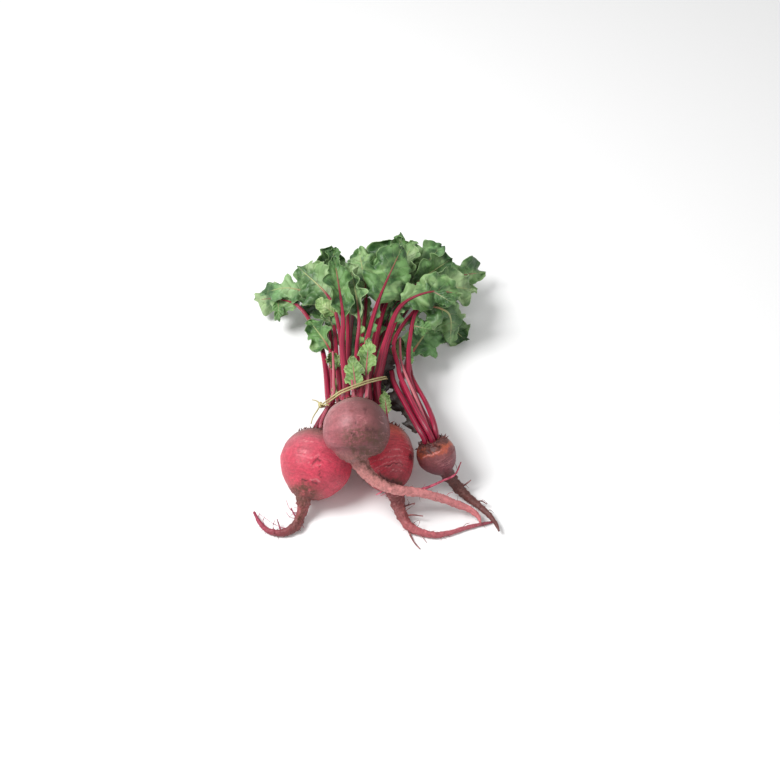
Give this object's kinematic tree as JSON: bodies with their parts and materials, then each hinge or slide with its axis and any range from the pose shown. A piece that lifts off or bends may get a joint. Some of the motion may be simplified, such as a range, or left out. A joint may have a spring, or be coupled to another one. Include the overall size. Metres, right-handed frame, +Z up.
{
  "type": "beetroot bunch",
  "caption": "Tied bunch of fresh beetroots lying down, with swollen roots, curled taproots, crimson stalks and lobed green leaves.",
  "frame": {"origin": "on the floor, under the middle of the bunch's outline", "axes": "+Y from the roots towards the leaf tips, +Z up from the floor the bunch lies on, +X to the right seen from the roots"},
  "size_m": [0.2493, 0.3802, 0.1197],
  "materials": {
    "root_left": "thin earthy root skin, satin, finely wrinkled",
    "root_front": "thin earthy root skin, satin, finely wrinkled",
    "root_middle": "thin earthy root skin, satin, finely wrinkled",
    "root_small": "thin earthy root skin, satin, finely wrinkled",
    "stalk_left_outer": "smooth juicy stalk, slight sheen",
    "blade_left_outer": "matte crinkled leaf",
    "stalk_left_upper": "smooth juicy stalk, slight sheen",
    "blade_left_upper": "matte crinkled leaf",
    "stalk_left_high": "smooth juicy stalk, slight sheen",
    "blade_left_high": "matte crinkled leaf",
    "stalk_left_low": "smooth juicy stalk, slight sheen",
    "blade_left_low": "matte crinkled leaf",
    "stalk_left_side": "smooth juicy stalk, slight sheen",
    "blade_left_side": "matte crinkled leaf",
    "stalk_front_large": "smooth juicy stalk, slight sheen",
    "blade_front_large": "matte crinkled leaf",
    "stalk_front_pale": "smooth juicy stalk, slight sheen",
    "blade_front_pale": "matte crinkled leaf",
    "stalk_front_folded": "smooth juicy stalk, slight sheen",
    "blade_front_folded": "matte crinkled leaf",
    "stalk_front_right": "smooth juicy stalk, slight sheen",
    "blade_front_right": "matte crinkled leaf",
    "stalk_front_top": "smooth juicy stalk, slight sheen",
    "blade_front_top": "matte crinkled leaf",
    "stalk_front_back": "smooth juicy stalk, slight sheen",
    "blade_front_back": "matte crinkled leaf",
    "stalk_middle_right": "smooth juicy stalk, slight sheen",
    "blade_middle_right": "matte crinkled leaf",
    "stalk_middle_top": "smooth juicy stalk, slight sheen",
    "blade_middle_top": "matte crinkled leaf",
    "stalk_middle_high": "smooth juicy stalk, slight sheen",
    "blade_middle_high": "matte crinkled leaf",
    "stalk_middle_back": "smooth juicy stalk, slight sheen",
    "blade_middle_back": "matte crinkled leaf",
    "stalk_middle_far": "smooth juicy stalk, slight sheen",
    "blade_middle_far": "matte crinkled leaf",
    "stalk_small_top": "smooth juicy stalk, slight sheen",
    "blade_small_top": "matte crinkled leaf",
    "stalk_small_mid": "smooth juicy stalk, slight sheen",
    "blade_small_mid": "matte crinkled leaf",
    "stalk_small_droop": "smooth juicy stalk, slight sheen",
    "blade_small_droop": "matte crinkled leaf",
    "stalk_small_outer": "smooth juicy stalk, slight sheen",
    "blade_small_outer": "matte crinkled leaf",
    "stalk_small_low": "smooth juicy stalk, slight sheen",
    "blade_small_low": "matte crinkled leaf",
    "stalk_under_left": "smooth juicy stalk, slight sheen",
    "blade_under_left": "matte crinkled leaf",
    "stalk_under_right": "smooth juicy stalk, slight sheen",
    "blade_under_right": "matte crinkled leaf",
    "leaf_young_left": "soft matte young leaf",
    "leaf_young_front": "soft matte young leaf",
    "leaf_young_tall": "soft matte young leaf",
    "leaf_young_short": "soft matte young leaf",
    "leaf_young_right": "soft matte young leaf",
    "tie": "dry matte plant fibre"
  },
  "bodies": {
    "root": {"root_left": "root_left", "root_front": "root_front", "root_middle": "root_middle", "root_small": "root_small", "stalk_left_outer": "stalk_left_outer", "blade_left_outer": "blade_left_outer", "stalk_left_upper": "stalk_left_upper", "blade_left_upper": "blade_left_upper", "stalk_left_high": "stalk_left_high", "blade_left_high": "blade_left_high", "stalk_left_low": "stalk_left_low", "blade_left_low": "blade_left_low", "stalk_left_side": "stalk_left_side", "blade_left_side": "blade_left_side", "stalk_front_large": "stalk_front_large", "blade_front_large": "blade_front_large", "stalk_front_pale": "stalk_front_pale", "blade_front_pale": "blade_front_pale", "stalk_front_folded": "stalk_front_folded", "blade_front_folded": "blade_front_folded", "stalk_front_right": "stalk_front_right", "blade_front_right": "blade_front_right", "stalk_front_top": "stalk_front_top", "blade_front_top": "blade_front_top", "stalk_front_back": "stalk_front_back", "blade_front_back": "blade_front_back", "stalk_middle_right": "stalk_middle_right", "blade_middle_right": "blade_middle_right", "stalk_middle_top": "stalk_middle_top", "blade_middle_top": "blade_middle_top", "stalk_middle_high": "stalk_middle_high", "blade_middle_high": "blade_middle_high", "stalk_middle_back": "stalk_middle_back", "blade_middle_back": "blade_middle_back", "stalk_middle_far": "stalk_middle_far", "blade_middle_far": "blade_middle_far", "stalk_small_top": "stalk_small_top", "blade_small_top": "blade_small_top", "stalk_small_mid": "stalk_small_mid", "blade_small_mid": "blade_small_mid", "stalk_small_droop": "stalk_small_droop", "blade_small_droop": "blade_small_droop", "stalk_small_outer": "stalk_small_outer", "blade_small_outer": "blade_small_outer", "stalk_small_low": "stalk_small_low", "blade_small_low": "blade_small_low", "stalk_under_left": "stalk_under_left", "blade_under_left": "blade_under_left", "stalk_under_right": "stalk_under_right", "blade_under_right": "blade_under_right", "leaf_young_left": "leaf_young_left", "leaf_young_front": "leaf_young_front", "leaf_young_tall": "leaf_young_tall", "leaf_young_short": "leaf_young_short", "leaf_young_right": "leaf_young_right", "tie": "tie"}
  },
  "joints": []
}
